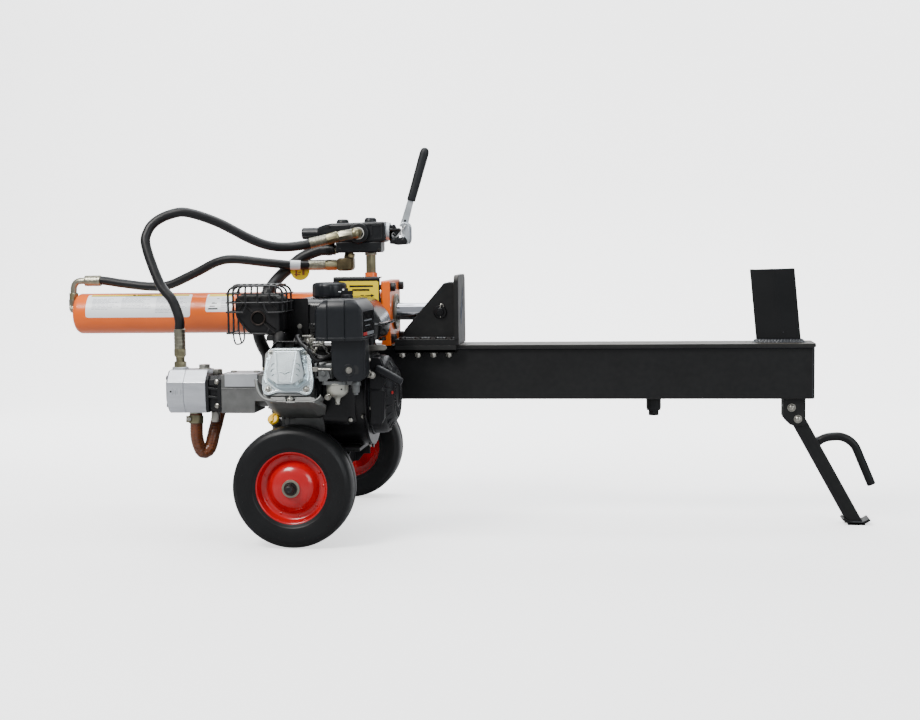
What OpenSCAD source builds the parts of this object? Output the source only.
// Towable hydraulic log splitter: a small petrol engine drives a gear pump, the
// beam is the oil tank, and a long-stroke ram pushes the log onto a fixed wedge.
// Frame: X along the beam towards the wedge, -Y the engine side, Z up from the ground.
// Parts are laid out with X = 0, Y = 0 at the middle of the axle; placed() then moves
// them so that the origin is the middle of the footprint.

/* [Beam] */
// Width of the rectangular beam tube
beam_w = 80; // [78:1:81]
// Right-hand end of the beam tube
beam_x1 = 1074; // [1070:1:1078]
// Height of the beam tube
beam_h = 112; // [110:1:113]
// Wall of the beam tube
beam_wall = 5; // [4:1:8]
// Width of the slide rail plate on top of the beam
rail_w = 100; // [99:0.5:101]
// Height of the rail's top face above the ground
rail_top = 395; // [395:1:395]
// Thickness of the rail plate
rail_t = 8; // [8:1:8]

/* [Wedge] */
// Thickness of the wedge body
wedge_t = 25; // [20:1:30]
// Length of the wedge along the beam
wedge_len = 94; // [85:1:95]
// Lean of the wedge towards the ram, degrees
wedge_lean = 5.2; // [3:0.1:6]
// Height of the wedge's top above the ground
wedge_top = 554; // [540:1:560]

/* [Ram] */
// Outside diameter of the cylinder barrel
barrel_d = 89; // [88:1:90]
// Bore of the cylinder
bore_d = 76; // [76:0.5:76.5]
// Diameter of the piston rod
rod_d = 38; // [36:1:40]
// Height of the ram axis
ram_z = 467; // [467:1:467]
// Size of the square head block
block = 140; // [138:1:141]
// Height of the push plate
plate_h = 143; // [140:1:146]
// Width of the push plate
plate_w = 132; // [128:1:136]

/* [Wheels] */
// Outside diameter of the tyres
wheel_d = 250; // [250:1:250]
// Distance between the tyre centres
track = 620; // [616:1:624]
// Diameter of the axle
axle_d = 16; // [14:1:17]

/* [Leg] */
// Angle of the support leg from vertical, degrees
leg_a = 28.6; // [28:0.1:29]
// Side of the square leg tube
leg_w = 30; // [29:0.5:30.5]
// Diameter of the two leg bolts
leg_bolt_d = 12; // [10:0.5:12.5]

/* [Engine and pump] */
// Distance of the crank axis from the beam's centre plane
eng_y = 200; // [200:1:201]
// Height of the crank axis
eng_z = 304; // [304:1:304]
// Tilt of the engine cylinder above horizontal, degrees
cyl_a = 18; // [17:0.5:19]
// Module of the pump gears
gear_m = 2; // [2:1:2]
// Teeth on each pump gear
gear_n = 13; // [13:1:13]

/* [Hidden] */
$fn = 64;
origin_x = -303;
origin_y = 27;

// beam, with its tank ports in the ram end and its drain below
beam_top = rail_top - rail_t;
beam_bot = beam_top - beam_h;
beam_x0 = -80;
tank_port_y = -14;
return_z = 346;
suction_z = 306;
drain_x = 733;
// leg pivot, and the locking bolt further up the leg's axis
pivot_x = 1041;
pivot_z = 230;
lock_d = 28.2;
lock_x = pivot_x - lock_d * sin(leg_a);
lock_z = pivot_z + lock_d * cos(leg_a);
leg_bolt_r = leg_bolt_d / 2;
// wheels
axle_r = axle_d / 2;
wheel_r = wheel_d / 2;
half_track = track / 2;
// ram
block_x0 = 144;
block_x1 = 164;
head_bolts_yz = [for (s = [-1, 1], t = [-1, 1]) [s * 56, ram_z + t * 56]];
rear_port_z = 480;
riser_x = 111;
piston_x1 = -498;
seal_xs = [-540, -525, -510];
pusher_x0 = 172;
push_x = 303;
half_plate = plate_w / 2;
rod_pin_x = 269;
rod_pin_r = 9;
// control valve
spool_z = 642;
valve_port_x = 66;
fulcrum_x = 186;
fulcrum_z = 626;
// engine and pump: both share the crank axis
crank_y = -eng_y;
crank_z = eng_z;
driven_z = crank_z + gear_m * gear_n;
pump_shaft_r = 8;
pump_mid_z = 311.5;
pressure_x = -273;
inlet_x = -239;
pump_screws = [for (s = [-1, 1], z = [283, 333]) [crank_y + s * 44, z]];
engine_cyl_x = 7;
dip_foot = [-44, -244, 236];
dip_mouth = [-49.2, -275, 256.7];
filler_x = 54;
filler_y = -170;
throttle_x = 146;
throttle_z = 406;

// colours used by several parts
frame_black = [0.05, 0.055, 0.06];
satin_black = [0.05, 0.05, 0.055];
dark_grey = [0.06, 0.06, 0.065];
charcoal = [0.07, 0.07, 0.075];
rubber_black = [0.03, 0.03, 0.035];
filter_black = [0.06, 0.065, 0.075];
rim_red = [0.75, 0.03, 0.05];
ram_orange = [0.95, 0.42, 0.1];
cast_grey = [0.4, 0.4, 0.4];
steel = [0.5, 0.5, 0.52];
gear_steel = [0.55, 0.56, 0.58];

// ---- helpers -------------------------------------------------------------
module placed() translate([origin_x, origin_y, 0]) children();
// box between two values on each axis
module box(x0, x1, y0, y1, z0, z1) translate([x0, y0, z0]) cube([x1 - x0, y1 - y0, z1 - z0]);
// cylinders along X, Y and Z: two ends, the axis's other two coordinates, radius
module cyl_x(x0, x1, y, z, r, facets = 64)
  translate([x0, y, z]) rotate([0, 90, 0]) cylinder(h = x1 - x0, r = r, $fn = facets);
module cyl_y(y0, y1, x, z, r, facets = 64)
  translate([x, y0, z]) rotate([-90, 0, 0]) cylinder(h = y1 - y0, r = r, $fn = facets);
module cyl_z(z0, z1, x, y, r, facets = 64)
  translate([x, y, z0]) cylinder(h = z1 - z0, r = r, $fn = facets);
// round bar between two points
module rod(from, to, r, facets = 64) {
  span = to - from;
  length = norm(span);
  translate(from) rotate([0, acos(span[2] / length), atan2(span[1], span[0])])
    cylinder(h = length, r = r, $fn = facets);
}
// plate lying in the XZ plane between two Y values (points are [x, z])
module plate_y(points, y0, y1)
  translate([0, y1, 0]) rotate([90, 0, 0]) linear_extrude(y1 - y0) polygon(points);
// plate lying in the YZ plane between two X values (points are [y, z])
module plate_x(points, x0, x1)
  translate([x0, 0, 0]) rotate([90, 0, 90]) linear_extrude(x1 - x0) polygon(points);
// one copy on each side of the beam's centre plane, between two distances from it
module plate_y_pair(points, inner, outer)
  for (y = [-outer, inner]) plate_y(points, y, y + outer - inner);
module cyl_y_pair(inner, outer, x, z, r, facets = 64)
  for (y = [-outer, inner]) cyl_y(y, y + outer - inner, x, z, r, facets);
module box_pair(x0, x1, inner, outer, z0, z1)
  for (y = [-outer, inner]) box(x0, x1, y, y + outer - inner, z0, z1);

// ---- frame ---------------------------------------------------------------
module beam_tube() color(frame_black) difference() {
  box(beam_x0, beam_x1, -beam_w / 2, beam_w / 2, beam_bot, beam_top);
  box(beam_x0 + beam_wall, beam_x1 - beam_wall, -beam_w / 2 + beam_wall, beam_w / 2 - beam_wall,
    beam_bot + beam_wall, beam_top - beam_wall);
  cyl_x(beam_x0 - 1, beam_x0 + beam_wall + 1, tank_port_y, return_z, 10);
  cyl_x(beam_x0 - 1, beam_x0 + beam_wall + 1, tank_port_y, suction_z, 13);
  cyl_z(beam_bot - 1, beam_bot + beam_wall + 1, drain_x, 0, 10);
}
module top_rail() color(frame_black)
  box(beam_x0, beam_x1 + 2, -rail_w / 2, rail_w / 2, beam_top, rail_top);

// sharpened plate, leant over and then cut level at rail and top
wedge_edge_x = 954;
wedge_taper = 48;
wedge_outline = [[0, -1.5], [wedge_taper, -wedge_t / 2], [wedge_len, -wedge_t / 2],
  [wedge_len, wedge_t / 2], [wedge_taper, wedge_t / 2], [0, 1.5]];
module splitting_wedge() color(frame_black) intersection() {
  translate([wedge_edge_x, 0, rail_top]) rotate([0, -wedge_lean, 0]) translate([0, 0, -30])
    linear_extrude(230) polygon(wedge_outline);
  box(900, 1070, -40, 40, rail_top, wedge_top);
}

module leg_bracket() color(frame_black) difference() {
  plate_y_pair([[1009, beam_bot], [1057, beam_bot], [1057, 216], [1026, 216], [1009, 235]], 16, 22);
  cyl_y(-30, 30, pivot_x, pivot_z, leg_bolt_r + 0.05);
  cyl_y(-30, 30, lock_x, lock_z, leg_bolt_r + 0.05);
}
// shank, hex head, washer and nut
module leg_bolt(x, z) {
  cyl_y(-22, 29, x, z, leg_bolt_r);
  cyl_y(-29, -22, x, z, 9.4, 6);
  cyl_y(-23.4, -22.02, x, z, 11);
  cyl_y(22.02, 28, x, z, 10.5, 6);
}
module leg_bolts() color("silver") {
  leg_bolt(pivot_x, pivot_z);
  leg_bolt(lock_x, lock_z);
}
module drain_plug() color(dark_grey) {
  cyl_z(247, beam_bot, drain_x, 0, 16);
  cyl_z(beam_bot - 1, beam_bot + beam_wall, drain_x, 0, 9.9);
  cyl_z(234, 248, drain_x, 0, 12.5, 6);
}

module axle_carrier() color(satin_black) {
  // hollow axle beam with stub axles
  difference() {
    box(-25, 25, -225, 225, 100, 150);
    box(-21, 21, -221, 221, 104, 146);
  }
  cyl_y_pair(224, half_track + 48, 0, wheel_r, axle_r);
  // saddle plates under the beam
  plate_y_pair([[-60, 150], [60, 150], [85, 200], [85, beam_bot], [-75, beam_bot], [-75, 200]],
    28, 36);
  // end gussets of the axle beam
  plate_y_pair([[-42, 100], [34, 100], [46, 117], [62, 117], [62, 158], [40, 172], [-42, 172]],
    217, 225);
  // engine plate and its two uprights
  box(-85, 128, -262, -36, 190, 198);
  box(-25, 25, -140, -132, 149, 191);
  box(-25, 25, -225, -217, 149, 191);
}

// ---- wheels --------------------------------------------------------------
tyre_radial = 28;
tyre_half_w = 40;
tyre_outline = [for (a = [-144 : 12 : 144])
    [wheel_r - tyre_radial + tyre_radial * cos(a), tyre_half_w * sin(a)]];
// [radius, distance outwards along the axle]
rim_outline = [
  [axle_r + 0.05, -36], [15, -36], [15, 26], [23, 30], [36, 27], [47, 18], [51, 11], [58, 8],
  [66, 9.5], [70, 12], [70, -24], [73.6, -24], [73.6, 33], [70.5, 33], [69.5, 15], [66, 12.6],
  [58.5, 11.2], [53.5, 14], [49, 21], [37.5, 30.5], [23, 33.5], [15, 36], [axle_r + 0.05, 36]];
module tyre(y)
  translate([0, y, wheel_r]) rotate([90, 0, 0]) rotate_extrude($fn = 96) polygon(tyre_outline);
// wheel disc; side is -1 for the -Y wheel, 1 for the +Y wheel
module rim(side) translate([0, side * half_track, wheel_r]) rotate([-side * 90, 0, 0])
  rotate_extrude($fn = 96) polygon(rim_outline);
module near_tyre() color(charcoal) tyre(-half_track);
module far_tyre() color(charcoal) tyre(half_track);
module near_rim() color(rim_red) rim(-1);
module far_rim() color(rim_red) rim(1);
// washers on both faces of each wheel, hex nuts on the outer ones
module hub_nuts() color([0.45, 0.45, 0.42]) difference() {
  union() {
    cyl_y_pair(half_track + 36.3, half_track + 39.5, 0, wheel_r, 18.5);
    cyl_y_pair(half_track + 39.6, half_track + 47, 0, wheel_r, 12.6, 6);
    cyl_y_pair(half_track - 39.5, half_track - 36.3, 0, wheel_r, 18.5);
  }
  cyl_y(-half_track - 50, half_track + 50, 0, wheel_r, axle_r + 0.02);
}

// ---- support leg ---------------------------------------------------------
leg_wall = 2.5;
// where the leg's axis meets the ground
foot_x = pivot_x + pivot_z * tan(leg_a);
// bend of the lift handle
bend_x = 1121;
bend_z = 143;
bend_r = 47;
bend_a = 67.5;
handle_r = 7.9;
// point on the handle's straight end, a distance past the bend
function handle_end(d) = [bend_x + bend_r * sin(bend_a) + d * cos(bend_a), 0,
  bend_z + bend_r * cos(bend_a) - d * sin(bend_a)];
// frame of the support leg: origin at its pivot, -Z down the leg
module on_leg() translate([pivot_x, 0, pivot_z]) rotate([0, -leg_a, 0]) children();
// curved shoe cut from a ring
module foot_plate() intersection() {
  translate([foot_x, 0, 47]) rotate([90, 0, 0]) difference() {
    cylinder(h = 46, r = 46, center = true, $fn = 96);
    cylinder(h = 60, r = 40.5, center = true, $fn = 96);
  }
  box(foot_x - 30, foot_x + 28, -23, 23, 0.5, 13);
}
module leg_tube() intersection() {
  on_leg() difference() {
    translate([-leg_w / 2, -leg_w / 2, -275]) cube([leg_w, leg_w, 313]);
    translate([-leg_w / 2 + leg_wall, -leg_w / 2 + leg_wall, -280])
      cube([leg_w - 2 * leg_wall, leg_w - 2 * leg_wall, 330]);
  }
  box(900, 1300, -40, 40, 4.5, 300);
}
module lift_handle() {
  rod([1079, 0, bend_z + bend_r], [bend_x + 0.8, 0, bend_z + bend_r], handle_r);
  translate([bend_x, 0, bend_z]) rotate([-90, 0, 0]) rotate([0, 0, -90])
    rotate_extrude(angle = bend_a, $fn = 96) translate([bend_r, 0]) circle(r = 8, $fn = 48);
  rod(handle_end(-0.8), handle_end(82), handle_r);
}
module support_leg() color(frame_black) difference() {
  union() {
    leg_tube();
    foot_plate();
    box(foot_x - 18, foot_x + 18, -23, 23, 0, 5.5);
    lift_handle();
  }
  cyl_y(-40, 40, pivot_x, pivot_z, leg_bolt_r + 0.05);
  // hook slot that the locking bolt sits in
  on_leg() {
    translate([0, 0, lock_d]) rotate([90, 0, 0])
      cylinder(h = 60, r = leg_bolt_r + 0.3, center = true);
    translate([0, -30, lock_d - leg_bolt_r - 6.6]) cube([30, 60, 2 * leg_bolt_r + 6.9]);
  }
}

// ---- hydraulic cylinder --------------------------------------------------
barrel_x0 = -565;
module cylinder_barrel() color(ram_orange) difference() {
  union() {
    cyl_x(barrel_x0, block_x0, 0, ram_z, barrel_d / 2);
    // chamfered closed end
    translate([barrel_x0, 0, ram_z]) rotate([0, -90, 0])
      cylinder(h = 8, r1 = barrel_d / 2, r2 = barrel_d / 2 - 7, $fn = 64);
    cyl_z(ram_z + 30, 554, riser_x, 0, 14);
  }
  cyl_x(-556, block_x0 + 1, 0, ram_z, bore_d / 2);
  cyl_x(-580, -550, 0, rear_port_z, 8);
  cyl_z(ram_z + 20, 560, riser_x, 0, 7);
}
gland_r = 36;
module head_block() color(ram_orange) difference() {
  box(block_x0, block_x1, -block / 2, block / 2, rail_top, ram_z + block / 2);
  cyl_x(block_x0 - 1, block_x1 + 1, 0, ram_z, gland_r + 0.02);
  for (p = head_bolts_yz) cyl_x(block_x0 - 1, block_x1 + 1, p[0], p[1], 6.05);
}
module cylinder_gland() color(cast_grey) difference() {
  union() {
    cyl_x(116, block_x1, 0, ram_z, gland_r);
    cyl_x(block_x1, block_x1 + 6, 0, ram_z, 39.5);
  }
  cyl_x(110, 180, 0, ram_z, rod_d / 2 + 0.05);
  // groove round the outside
  difference() {
    cyl_x(132, 137, 0, ram_z, gland_r + 1);
    cyl_x(130, 139, 0, ram_z, 33.5);
  }
}
// socket-head screws
module head_bolts() color([0.06, 0.06, 0.07])
  for (p = head_bolts_yz) difference() {
    union() {
      cyl_x(block_x0 - 10, block_x1, p[0], p[1], 6);
      cyl_x(block_x1, block_x1 + 7.8, p[0], p[1], 9);
    }
    cyl_x(block_x1 + 3, block_x1 + 12, p[0], p[1], 5.2, 6);
  }
module label_plate() color(satin_black) {
  box(40, block_x0 - 1, -75, -71, 452, 546);
  box(40, block_x0 - 1, -75, -48, 543, 546);
  box(block_x0 - 3.05, block_x0 - 0.05, -75, -47, 452, 500);
}

// ---- ram -----------------------------------------------------------------
module piston() color(steel) {
  difference() {
    cyl_x(-548, piston_x1, 0, ram_z, bore_d / 2 - 0.06);
    cyl_x(-550, -490, 0, ram_z, 12.02);
    for (x = seal_xs) difference() {
      cyl_x(x, x + 5, 0, ram_z, bore_d / 2 + 1);
      cyl_x(x - 1, x + 6, 0, ram_z, bore_d / 2 - 4);
    }
  }
  // seal rings
  for (x = seal_xs) difference() {
    cyl_x(x + 0.1, x + 4.9, 0, ram_z, bore_d / 2 - 0.08);
    cyl_x(x - 1, x + 6, 0, ram_z, bore_d / 2 - 3.95);
  }
}
module piston_rod() color([0.85, 0.87, 0.9]) difference() {
  union() {
    cyl_x(piston_x1, 292, 0, ram_z, rod_d / 2);
    cyl_x(-555, piston_x1 + 1, 0, ram_z, 12);
    // hex nut that holds the piston
    difference() {
      cyl_x(-555.5, -548.05, 0, ram_z, 18, 6);
      cyl_x(-556, -548, 0, ram_z, 11);
    }
  }
  cyl_y(-30, 30, rod_pin_x, ram_z, rod_pin_r + 0.05);
}
push_bot = 405;
push_top = push_bot + plate_h;
// [y, z], with the two top corners cut twice
push_outline = [
  [-half_plate, push_bot], [half_plate, push_bot],
  [half_plate, push_top - 14], [half_plate - 4, push_top - 4], [half_plate - 14, push_top],
  [-half_plate + 14, push_top], [-half_plate + 4, push_top - 4], [-half_plate, push_top - 14]];
module push_plate() color(frame_black) plate_x(push_outline, push_x, push_x + 10);
// the eight keeper bolt places, four on each side of the rail
module at_keeper_bolts()
  for (x = [188, 222, 256, 290], side = [-1, 1]) translate([x, side * 58, 0]) children();
sole_top = 409;
module pusher_frame() color(frame_black) {
  // gussets on both sides of the piston rod
  difference() {
    plate_y_pair([[push_x, sole_top], [push_x, 531], [279, 531], [189, 427], [189, 420],
      [176, sole_top]], 24, 34);
    cyl_y(-35, 35, rod_pin_x, ram_z, rod_pin_r + 0.05);
  }
  // sole plate, and the strip below the push plate
  difference() {
    box(pusher_x0, push_x, -half_plate, half_plate, rail_top + 0.4, sole_top);
    at_keeper_bolts() cyl_z(390, 404, 0, 0, 4);
  }
  box(push_x, push_x + 9.9, -half_plate, half_plate, rail_top + 0.4, push_bot - 0.1);
}
// stepped bars that hook under the rail's edges
module slide_keepers() color(frame_black) difference() {
  union() {
    box_pair(pusher_x0, 307, rail_w / 2 + 0.5, 66, 379, rail_top + 0.3);
    box_pair(pusher_x0, 307, beam_w / 2 + 1.5, 66, 379, beam_top - 0.4);
  }
  at_keeper_bolts() cyl_z(370, 400, 0, 0, 4.05);
}
module keeper_bolts() color("silver") at_keeper_bolts() {
  cyl_z(372, 403, 0, 0, 3.95);
  cyl_z(371, 379, 0, 0, 7.5, 6);
}
module rod_pin() color([0.08, 0.08, 0.085]) {
  cyl_y(-44, 42, rod_pin_x, ram_z, rod_pin_r);
  // collar at the +Y end
  difference() {
    cyl_y(34.1, 38, rod_pin_x, ram_z, 14);
    cyl_y(34, 39, rod_pin_x, ram_z, rod_pin_r - 0.1);
  }
  // spring clip through the pin's -Y end
  rod([270, -40, 454], [270, -40, 484], 1.6);
}

// ---- control valve -------------------------------------------------------
module valve_body() color([0.06, 0.065, 0.07]) difference() {
  union() {
    box(14, 147, -28, 28, 620, 664);
    box(0, 16, -20, 20, 624, 658);
    box(37, 138, -25, 25, 598, 622);
    cyl_x(-43, 2, 0, spool_z, 13);
    cyl_y(-34, 0, 90, 641, 23);
    // two plugs on top
    cyl_z(660, 673, 49, 0, 15, 6);
    cyl_z(660, 676, 111, 0, 14, 6);
    cyl_z(670, 680, 49, 0, 9);
    cyl_z(670, 682, 111, 0, 9);
    // closed boss on the +Y side
    cyl_y(0, 32, 60, 641, 16);
  }
  // spool bore, then the ports
  cyl_x(-40, 148, 0, spool_z, 9.06);
  cyl_x(-40, 0, 0, spool_z, 10.5);
  cyl_y(-40, -10, 90, 641, 9);
  cyl_z(590, 634, riser_x, 0, 8);
  cyl_z(590, 634, valve_port_x, 0, 8);
  cyl_x(30, 50, 2, 607, 8);
}
module valve_spool() color([0.7, 0.7, 0.7]) difference() {
  union() {
    cyl_x(-34, 166, 0, spool_z, 9);
    box(160, 180, -4, 4, spool_z - 6, spool_z + 8);
  }
  // grooves between the lands
  for (x = [40, 66, 92, 111]) difference() {
    cyl_x(x, x + 10, 0, spool_z, 10);
    cyl_x(x - 1, x + 11, 0, spool_z, 6);
  }
}
module lever_bracket() color([0.35, 0.35, 0.36]) {
  difference() {
    cyl_x(147.02, 156, 0, 644, 20);
    cyl_x(146, 158, 0, spool_z, 9.2);
  }
  difference() {
    plate_y_pair([[155.9, 632], [176, 618], [193, 616], [193, 633], [180, 634], [155.9, 650]],
      10, 14);
    cyl_y(-30, 30, fulcrum_x, fulcrum_z, 4.05);
  }
}
module control_lever() color([0.75, 0.77, 0.8]) {
  // clevis cheeks on the fulcrum pin, joined at the top
  plate_y_pair([[fulcrum_x - 9, 616], [fulcrum_x + 9, 616], [fulcrum_x + 12, 660],
    [fulcrum_x - 4, 660]], 15, 18.5);
  box(186, 197.5, -18, 18, 655, 661);
  cyl_y(-20, 20, fulcrum_x, fulcrum_z, 4);
  // fork arms beyond the spool's end, with the bridge between them
  plate_y_pair([[182, 660], [190, 660], [190, 636], [182.6, 636]], 5.2, 9);
  box(183.2, 188, -9, 9, 655, 660);
  // stem
  rod([190.5, 0, 659], [206.5, 0, 716], 6.5);
  cyl_z(658, 661, 191, 0, 8);
}
grip_top = [235.5, 0, 819];
module lever_grip() color(rubber_black) difference() {
  union() {
    rod([205.2, 0, 711.3], grip_top, 9);
    translate(grip_top) sphere(r = 9);
  }
  rod([204, 0, 707], [206.5, 0, 716.05], 6.55);
}

// ---- hoses ---------------------------------------------------------------
// hose centre lines, [x, y, z]
pressure_points = [
  [-273, -200, 440], [-274, -198, 466], [-318, -188, 540], [-347, -170, 618],
  [-330, -150, 672], [-266, -130, 690], [-206, -112, 669], [-140, -96, 633],
  [-100, -84, 617], [-64, -74, 613], [-26, -67, 616.5]];
cylinder_points = [
  [-514, 0, 541], [-462, -8, 533], [-391, -18, 528], [-345, -24, 531], [-281, -28, 558],
  [-230, -30, 582], [-190, -30, 587], [-120, -30, 579], [-66, -25, 573], [-38, -19, 572]];
return_points = [
  [13, 2, 606], [-8, 4, 604], [-45, 4, 590], [-78, 0, 568], [-98, -26, 544],
  [-108, -56, 515], [-114, -70, 470], [-119, -66, 420], [-123, -38, 386], [-124, -20, 367]];
suction_points = [
  [-237, -196, 236], [-236, -192, 206], [-226, -184, 180], [-208, -176, 186], [-197, -162, 226],
  [-186, -130, 276], [-160, -80, 304], [-128, -32, 307], [-112, -16, 306]];
// Catmull-Rom point between p1 and p2
function smooth(p0, p1, p2, p3, t) = 0.5 * ((2 * p1) + (p2 - p0) * t
  + (2 * p0 - 5 * p1 + 4 * p2 - p3) * t * t + (3 * p1 - p0 - 3 * p2 + p3) * t * t * t);
// resample a point list with a number of steps between neighbours
function curve(points, steps) = [
  for (i = [0 : len(points) - 2], j = [0 : steps - 1])
    smooth(points[max(i - 1, 0)], points[i], points[i + 1],
      points[min(i + 2, len(points) - 1)], j / steps),
  points[len(points) - 1]];
// flexible hose through a list of points, as short lengths blended at each point
module hose(points, r)
  for (i = [0 : len(points) - 2]) hull() {
    translate(points[i]) sphere(r = r, $fn = 10);
    translate(points[i + 1]) sphere(r = r, $fn = 10);
  }
module pressure_hose() color(rubber_black) hose(curve(pressure_points, 2), 9);
module cylinder_hose() color(rubber_black) hose(cylinder_points, 8.5);
module return_hose() color(rubber_black) hose(return_points, 13);
module suction_hose() color([0.4, 0.2, 0.1]) hose(suction_points, 14);

rear_elbow_x = -584.8;
module hose_fittings() color([0.62, 0.6, 0.5]) {
  // pressure hose, pump end
  cyl_z(399, 427, pressure_x, crank_y, 10.5);
  cyl_z(384, 400, pressure_x, crank_y, 13, 6);
  cyl_z(370, 385, pressure_x, crank_y, 9);
  cyl_z(357.2, 371, pressure_x, crank_y, 13.5, 6);
  // pressure hose, valve end
  rod([-13, -64, 620], [25, -58, 628.5], 10.5);
  rod([24.5, -58.1, 628.4], [48, -54.2, 635], 12.5, 6);
  rod([47, -54.4, 634.8], [84, -49, 641], 11.5);
  translate([85, -49, 641]) sphere(r = 12);
  cyl_y(-49, -34.1, 88, 641, 12);
  // elbows from the barrel's rear port up to the cylinder hose
  cyl_x(-590, -573.1, 0, rear_port_z, 9.5);
  translate([rear_elbow_x, 0, rear_port_z]) sphere(r = 11.6);
  cyl_z(rear_port_z, 498, rear_elbow_x, 0, 10.5);
  cyl_z(496, 513, rear_elbow_x, 0, 11.4, 6);
  cyl_z(511, 531, rear_elbow_x, 0, 7);
  translate([rear_elbow_x, 0, 531]) sphere(r = 7.6);
  rod([rear_elbow_x, 0, 531], [-574, 0, 541], 7);
  translate([-574, 0, 541]) sphere(r = 7.6);
  cyl_x(-574, -553, 0, 541, 7);
  cyl_x(-555, -525, 0, 541, 10.5);
  // cylinder hose, valve end
  cyl_x(-26, 13, -14, 572, 10.5);
  cyl_x(12, 38, -14, 572, 12.5, 6);
  cyl_x(37, 58, -14, 572, 9.5);
  translate([60.5, -11, 573]) sphere(r = 13);
  rod([60.5, -11, 573], [valve_port_x, 0, 586], 11);
  cyl_z(584, 597.9, valve_port_x, 0, 12);
  // riser between the cylinder's rod-end port and the valve
  cyl_z(554.1, 597.9, riser_x, 0, 12.5, 6);
  // return line: valve barb, clamp and tank elbow
  cyl_x(27.5, 36.9, 2, 606, 11, 6);
  cyl_z(338, 352, -124, -20, 12, 6);
  translate([-124, -20, 340]) sphere(r = 12.5);
  rod([-124, -20, 340], [-100, tank_port_y, return_z], 9);
  cyl_x(-102, beam_x0 - 0.1, tank_port_y, return_z, 14, 6);
  // suction line: pump inlet and tank stub
  cyl_z(252, 265.9, inlet_x, crank_y, 12);
  cyl_x(-96, beam_x0 - 0.1, tank_port_y, suction_z, 15, 6);
}

// ---- gear pump -----------------------------------------------------------
// [distance from the crank axis along Y, z]
pump_stations = [[-24, 357], [24, 357], [45, 332], [45, 294], [37, 279],
  [26, 266], [-26, 266], [-37, 279], [-45, 294], [-45, 332]];
function pump_outline(scale) = [for (p = pump_stations)
    [crank_y + p[0] * scale, pump_mid_z + (p[1] - pump_mid_z) * scale]];
gear_pocket_r = gear_m * (gear_n + 2) / 2 + 0.1;
// bore of a chosen radius on both gear axes
module gear_bores(x0, x1, r) for (z = [crank_z, driven_z]) cyl_x(x0, x1, crank_y, z, r);
module pump_body() color([0.75, 0.76, 0.78]) difference() {
  plate_x(pump_outline(1), -262, -214);
  gear_bores(-260, -218, gear_pocket_r);
  gear_bores(-263, -213, pump_shaft_r + 0.06);
  cyl_z(260, 292, inlet_x, crank_y, 9);
}
module pump_cover() color([0.72, 0.73, 0.75]) difference() {
  union() {
    plate_x(pump_outline(1), -296, -262.02);
    plate_x(pump_outline(0.93), -300, -295.99);
  }
  gear_bores(-292, -262, pump_shaft_r + 0.06);
  cyl_z(345, 365, pressure_x, crank_y, 7.5);
}
module pump_flange() color(dark_grey) difference() {
  union() {
    plate_x([[crank_y - 40, 348], [crank_y + 40, 348], [crank_y + 46, 340], [crank_y + 46, 275],
      [crank_y + 40, 268], [crank_y - 40, 268], [crank_y - 46, 275], [crank_y - 46, 340]],
      -213.9, -180.1);
    for (p = pump_screws) cyl_x(-182, -174, p[0], p[1], 6, 6);
    // hex plugs above and below
    cyl_z(347, 356, -201, crank_y, 11, 6);
    cyl_z(246, 269, -193, crank_y, 8.6, 6);
  }
  for (p = pump_screws) cyl_x(-180.1, -170.1, p[0], p[1], 6.5);
  cyl_x(-220, -170, crank_y, crank_z, pump_shaft_r + 0.06);
  cyl_x(-214, -185, crank_y, driven_z, pump_shaft_r + 0.06);
}
// one slender tooth that leaves running backlash, [radius, half-width]
pitch_r = gear_m * gear_n / 2;
tooth_flank = [[pitch_r - 4, 1.75], [pitch_r - 2.2, 1.75], [pitch_r, 1.25],
  [gear_m * (gear_n + 1.8) / 2, 0.6]];
tooth_outline = [for (p = tooth_flank) [p[0], -p[1]],
  for (i = [3 : -1 : 0]) tooth_flank[i]];
// spur gear, phase in degrees
module gear_outline(phase) union() {
  circle(r = gear_m * (gear_n - 2.6) / 2);
  for (i = [0 : gear_n - 1]) rotate(phase + i * 360 / gear_n) polygon(tooth_outline);
}
module pump_gear(z, phase)
  translate([-257, crank_y, z]) rotate([90, 0, 90]) linear_extrude(37) gear_outline(phase);
module drive_gear() color(gear_steel) {
  pump_gear(crank_z, 90);
  cyl_x(-290, -128, crank_y, crank_z, pump_shaft_r);
}
module driven_gear() color(gear_steel) {
  // turned half a tooth to mesh
  pump_gear(driven_z, 90 + 180 / gear_n + 180);
  cyl_x(-290, -188, crank_y, driven_z, pump_shaft_r);
}
module bell_housing() color([0.42, 0.42, 0.42]) difference() {
  union() {
    box(-180, -60.1, crank_y - 44, crank_y + 44, 267, 348);
    // raised cover at the top
    box(-162, -89, crank_y - 46.5, crank_y + 30, 326, 350.5);
  }
  cyl_x(-181, -59, crank_y, crank_z, 33);
  box(-98, -59, crank_y - 60, crank_y - 36, 260, 293);
  for (p = pump_screws) cyl_x(-181, -172, p[0], p[1], 7.5);
}
// two hubs with a ring between them
module coupling() color([0.4, 0.42, 0.45]) difference() {
  union() {
    cyl_x(-160, -128, crank_y, crank_z, 27);
    difference() {
      cyl_x(-127.9, -118.1, crank_y, crank_z, 26);
      cyl_x(-128.5, -117.5, crank_y, crank_z, 9);
    }
    cyl_x(-118, -76, crank_y, crank_z, 27);
  }
  cyl_x(-161, -127.95, crank_y, crank_z, pump_shaft_r + 0.02);
  cyl_x(-118.05, -70, crank_y, crank_z, 9.52);
}

// ---- engine --------------------------------------------------------------
// frame whose Z runs out along the engine cylinder from the crank axis
module on_cyl()
  translate([engine_cyl_x, crank_y, crank_z]) rotate([90 - cyl_a, 0, 0]) children();
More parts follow.
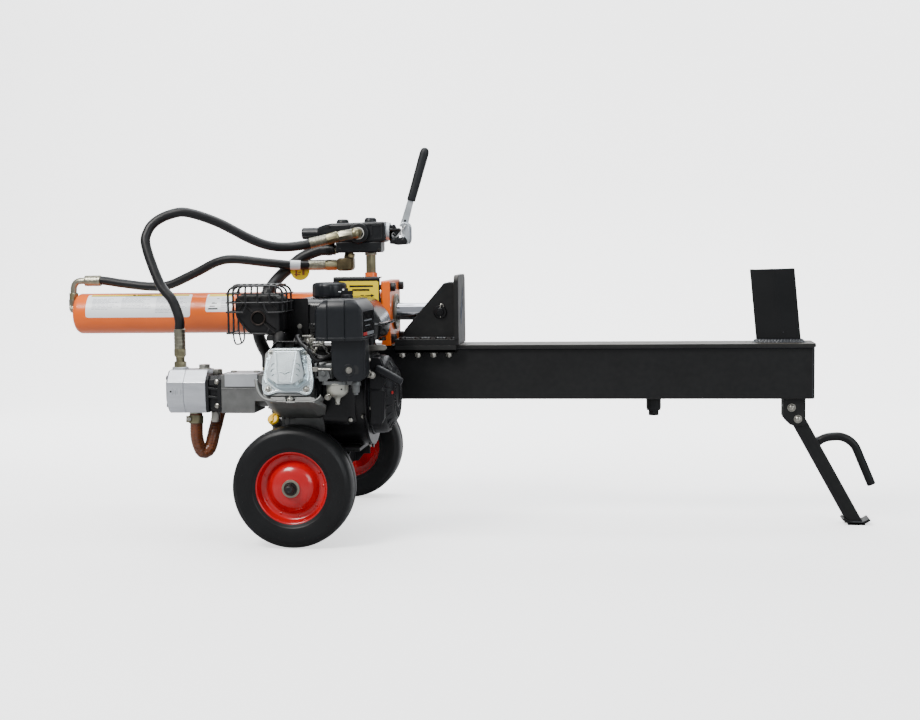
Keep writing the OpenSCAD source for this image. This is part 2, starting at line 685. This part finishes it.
// point along the dipstick neck: 0 at its foot, 1 at its mouth
function dip(t) = dip_foot + t * (dip_mouth - dip_foot);
module crankcase() color([0.38, 0.38, 0.38]) difference() {
  union() {
    box(-60, 60, -256, -134, 206, 262);
    box(-66, 61, -258, -130, 198.05, 207);
    cyl_x(-60, 60, crank_y, crank_z, 66);
    // finned cylinder
    on_cyl() {
      translate([-46, -46, 40]) cube([92, 92, 60]);
      for (i = [0 : 5]) translate([-50, -50, 68 + i * 12]) cube([97.5, 100, 4]);
      cylinder(h = 139.9, r = 40);
    }
    // smooth lower shroud under the cylinder
    on_cyl() {
      translate([-64, -66, 62]) cube([111.5, 15, 120]);
      translate([40, -66, 130]) cube([32, 15, 52]);
    }
    // dipstick neck
    rod(dip(0), dip(0.96), 10);
  }
  // crank chamber, bearings, bore
  cyl_x(-52, 52, crank_y, crank_z, 58);
  cyl_x(-61, 61, crank_y, crank_z, 16.06);
  on_cyl() cylinder(h = 141, r = 34);
  rod(dip(-0.2), dip(1), 6.1);
  // room for the dipstick's cap
  rod(dip(0.97), dip(2), 14);
}
module crankshaft() color(steel) {
  cyl_x(-104, -60, crank_y, crank_z, 9.5);
  cyl_x(-62, -8, crank_y, crank_z, 16);
  // webs and crankpin
  cyl_x(-20, -8, crank_y, crank_z, 44);
  cyl_x(8, 20, crank_y, crank_z, 44);
  cyl_x(-8.1, 8.1, crank_y, crank_z + 26, 14);
  cyl_x(8, 112, crank_y, crank_z, 16);
  // flywheel with its fan
  difference() {
    cyl_x(82, 98, crank_y, crank_z, 84);
    cyl_x(88, 99, crank_y, crank_z, 70);
  }
  cyl_x(82, 98, crank_y, crank_z, 26);
  for (i = [0 : 11]) translate([0, crank_y, crank_z]) rotate([i * 30, 0, 0])
    translate([97, -2, 52]) cube([16, 4, 34]);
  cyl_x(82, 99, crank_y, crank_z, 60);
}
module cylinder_head() color(cast_grey) difference() {
  union() {
    on_cyl() {
      translate([-48, -46, 140]) cube([96, 92, 44]);
      for (i = [0 : 3]) translate([-52, -50, 144 + i * 10]) cube([98.5, 100, 3.5]);
    }
    // exhaust outlet rising to the muffler
    on_cyl() translate([-34, 40, 160]) rotate([-60, 0, 0]) cylinder(h = 36, r = 13);
  }
  box(-80, 40, -400, -300, 436.4, 470);
  // spark plug hole
  on_cyl() translate([12, 30, 162]) rotate([-90, 0, 0]) cylinder(h = 30, r = 5.05);
}
// valve cover outlines in the engine cylinder's frame, [x, y]
cover_flange = [
  [-51.5, -30], [-47, -41], [-38, -43.8], [-21, -38], [21, -38], [38, -43.8], [47, -41],
  [51.5, -30], [52.5, -11], [47.8, 9], [44.2, 30], [44, 47.5], [40, 51.5], [28, 53.2],
  [-28, 53.2], [-40, 51.5], [-44, 47.5], [-44.2, 30], [-47.8, 9], [-52.5, -11]];
cover_dome = [[-22, -27], [22, -27], [39.5, -13], [39.5, -4],
  [28, 49], [-28, 49], [-39.5, -4], [-39.5, -13]];
cover_screws = [[-38.5, -31.3], [38.5, -31.3], [-36, 44.5], [36, 44.5]];
module valve_cover() color([0.8, 0.83, 0.85]) on_cyl() {
  translate([0, 0, 184.05]) linear_extrude(5) polygon(cover_flange);
  translate([0, 0, 189]) linear_extrude(25) polygon(cover_dome);
  for (p = cover_screws) translate([p[0], p[1], 189]) cylinder(h = 5, r = 5.5, $fn = 6);
}
module blower_housing() color(satin_black) {
  difference() {
    union() {
      cyl_x(62.1, 150, crank_y, crank_z, 104);
      box(62.1, 128, -316, -230, 250, 345);
    }
    cyl_x(64.6, 147.5, crank_y, crank_z, 101.5);
    cyl_x(60, 155, crank_y, crank_z, 72);
    cyl_x(60, 66, crank_y, crank_z, 92);
    box(64.6, 125.5, -313.5, -240, 252.5, 342.5);
  }
  // control bracket with the throttle pivot
  box(136, 148, -288, -268, 366, 416);
  cyl_y(-297, -287, throttle_x, throttle_z, 3);
}
// [radius, distance outwards along X]
recoil_outline = [[82, 0], [82, 22], [76, 38], [66, 47], [50, 49], [0, 49],
  [0, 46.2], [49, 46.2], [64, 44.4], [73.6, 36.2], [79.2, 21.4], [79.2, 0]];
module recoil_cover() color(satin_black) difference() {
  translate([150.1, crank_y, crank_z]) rotate([0, 90, 0])
    rotate_extrude($fn = 96) polygon(recoil_outline);
  // rope exit
  cyl_y(-290, -260, 176, 350, 5);
  // cooling slots
  for (a = [0 : 30 : 150], y = [-60, 32])
    translate([180, crank_y, crank_z]) rotate([a, 0, 0]) translate([0, y, -3]) cube([30, 28, 6]);
}
module starter_grip() color([0.04, 0.04, 0.045]) {
  rod([170.5, -290.5, 363], [221, -290.5, 334], 8);
  rod([176, -273.5, 350], [190, -290, 351.5], 5);
  // rope
  cyl_y(-274, -140, 176, 350, 2);
}
module fuel_tank() color(satin_black) difference() {
  union() {
    plate_y([[-18, 416], [166, 416], [173, 449], [154, 484], [134, 506], [-18, 506]], -252, -84);
    // seam flange and feet
    box(-22, 180, -256, -80, 449, 455);
    for (x = [20, 150], y = [-240, -100]) cyl_z(409, 417, x, y, 9);
  }
  plate_y([[-15.5, 418.5], [164, 418.5], [170.3, 449], [152, 482.6], [132.8, 503.5],
    [-15.5, 503.5]], -249.5, -86.5);
  cyl_z(500, 510, filler_x, filler_y, 24);
}
module fuel_cap() color(satin_black) difference() {
  union() {
    cyl_z(506.2, 534, filler_x, filler_y, 36);
    cyl_z(533, 539, filler_x, filler_y, 33);
    cyl_z(494, 507, filler_x, filler_y, 23.9);
  }
  cyl_z(490, 520, filler_x, filler_y, 20);
}
module air_cleaner() color(filter_black) difference() {
  plate_y([[71, 425], [165, 425], [165, 500], [153, 514], [84, 514], [71, 500]], -400, -285);
  plate_y([[73.5, 420], [162.5, 420], [162.5, 499], [152, 511.5], [85, 511.5], [73.5, 499]],
    -397.5, -287.5);
}
module air_cleaner_base() color(filter_black) {
  difference() {
    plate_y([[97, 424.9], [165, 424.9], [165, 358], [155, 347], [112, 347], [101, 358],
      [97, 378]], -382, -300);
    box(101, 161, -379, -303, 362, 430);
    cyl_y(-390, -376, 137, 370, 4.5);
  }
  // filter element inside the cover
  difference() {
    box(84, 152, -386, -300, 425.1, 480);
    box(96, 140, -374, -312, 424, 470);
  }
  cyl_y(-385, -374, 137, 370, 6.5);
}
module carburettor() color([0.7, 0.68, 0.62]) {
  box(64.2, 96.8, -366, -318, 346, 384);
  box(76, 124, -374, -326, 338, 346.2);
  // bowl, with a stepped stub below it
  cyl_z(313, 339, 100, -350, 22);
  cyl_z(303, 314, 108, -352, 8);
  cyl_z(298, 304, 108, -352, 5, 6);
  // side post on its arm
  cyl_z(322, 346.2, 140, -358, 10);
  box(120, 146, -366, -350, 338, 346.2);
  cyl_z(318, 323, 140, -358, 5, 6);
}
module muffler() color(charcoal) difference() {
  union() {
    plate_y([[-107, 452], [-92, 437], [-25, 437], [-17, 445], [-17, 510], [-25, 518],
      [-99, 518], [-107, 510]], -340, -268);
    cyl_y(-343, -338, -64, 473, 15);
  }
  plate_y([[-104, 453], [-91, 440], [-26, 440], [-20, 446], [-20, 509], [-26, 515],
    [-98, 515], [-104, 509]], -337, -271);
  cyl_y(-350, -330, -64, 473, 11.5);
}
module muffler_guard() color(dark_grey) difference() {
  box(-126, -6, -347, -262, 433, 538);
  box(-123, -9, -344, -261, 430, 535);
  // openings in the -Y face and the top, in five columns
  for (i = [0 : 4]) translate([-121 + i * 22.2, 0, 0]) {
    box(0, 19, -350, -343, 439, 505);
    box(0, 19, -350, -343, 509, 533);
    for (y = [-340, -300]) box(0, 19, y, y + 36, 534, 542);
  }
  // openings through both X ends
  for (y = [-340, -314, -288], z = [439, 475, 509])
    box(-130, 0, y, y + 22, z, z + (z > 500 ? 24 : 31));
}
// [x, y, z] along the lead from the plug's cap
plug_lead = [[20, -345, 431], [32, -365, 420], [47, -379, 411], [56, -380, 396],
  [67, -375, 388], [79, -363, 389.5], [88, -352, 391]];
module spark_plug() color(satin_black) {
  on_cyl() translate([12, 35, 162]) rotate([-90, 0, 0]) cylinder(h = 24, r = 5);
  on_cyl() translate([12, 51, 162]) rotate([-90, 0, 0]) cylinder(h = 26, r = 8.5);
  hose(plug_lead, 3.5);
}
// cap on the filler neck, with its rod
module dipstick() color([0.9, 0.68, 0.1]) {
  rod(dip(1), dip(1.34), 12);
  rod(dip(0), dip(1.01), 6.05);
}
module throttle_lever() color([0.8, 0.8, 0.82]) difference() {
  plate_y([[141, 401], [176, 402], [190, 402], [194, 408], [188, 413], [150, 413], [141, 411]],
    -293, -290);
  cyl_y(-300, -280, throttle_x, throttle_z, 3.05);
}
module engine_switch() color(satin_black) {
  difference() {
    cyl_z(506.1, 522, 102, -236, 12);
    cyl_z(500, 518, 102, -236, 8);
  }
  box(91, 113, -239, -233, 521, 528);
}

placed() beam_tube();
placed() top_rail();
placed() splitting_wedge();
placed() leg_bracket();
placed() leg_bolts();
placed() drain_plug();
placed() axle_carrier();
placed() hub_nuts();
placed() support_leg();
placed() near_tyre();
placed() near_rim();
placed() far_tyre();
placed() far_rim();
placed() cylinder_barrel();
placed() head_block();
placed() cylinder_gland();
placed() head_bolts();
placed() label_plate();
placed() piston();
placed() piston_rod();
placed() push_plate();
placed() pusher_frame();
placed() slide_keepers();
placed() keeper_bolts();
placed() rod_pin();
placed() valve_body();
placed() valve_spool();
placed() lever_bracket();
placed() control_lever();
placed() lever_grip();
placed() pressure_hose();
placed() cylinder_hose();
placed() return_hose();
placed() suction_hose();
placed() hose_fittings();
placed() pump_body();
placed() pump_cover();
placed() pump_flange();
placed() drive_gear();
placed() driven_gear();
placed() bell_housing();
placed() coupling();
placed() crankcase();
placed() crankshaft();
placed() cylinder_head();
placed() valve_cover();
placed() blower_housing();
placed() recoil_cover();
placed() starter_grip();
placed() fuel_tank();
placed() fuel_cap();
placed() air_cleaner();
placed() air_cleaner_base();
placed() carburettor();
placed() muffler();
placed() muffler_guard();
placed() spark_plug();
placed() dipstick();
placed() throttle_lever();
placed() engine_switch();
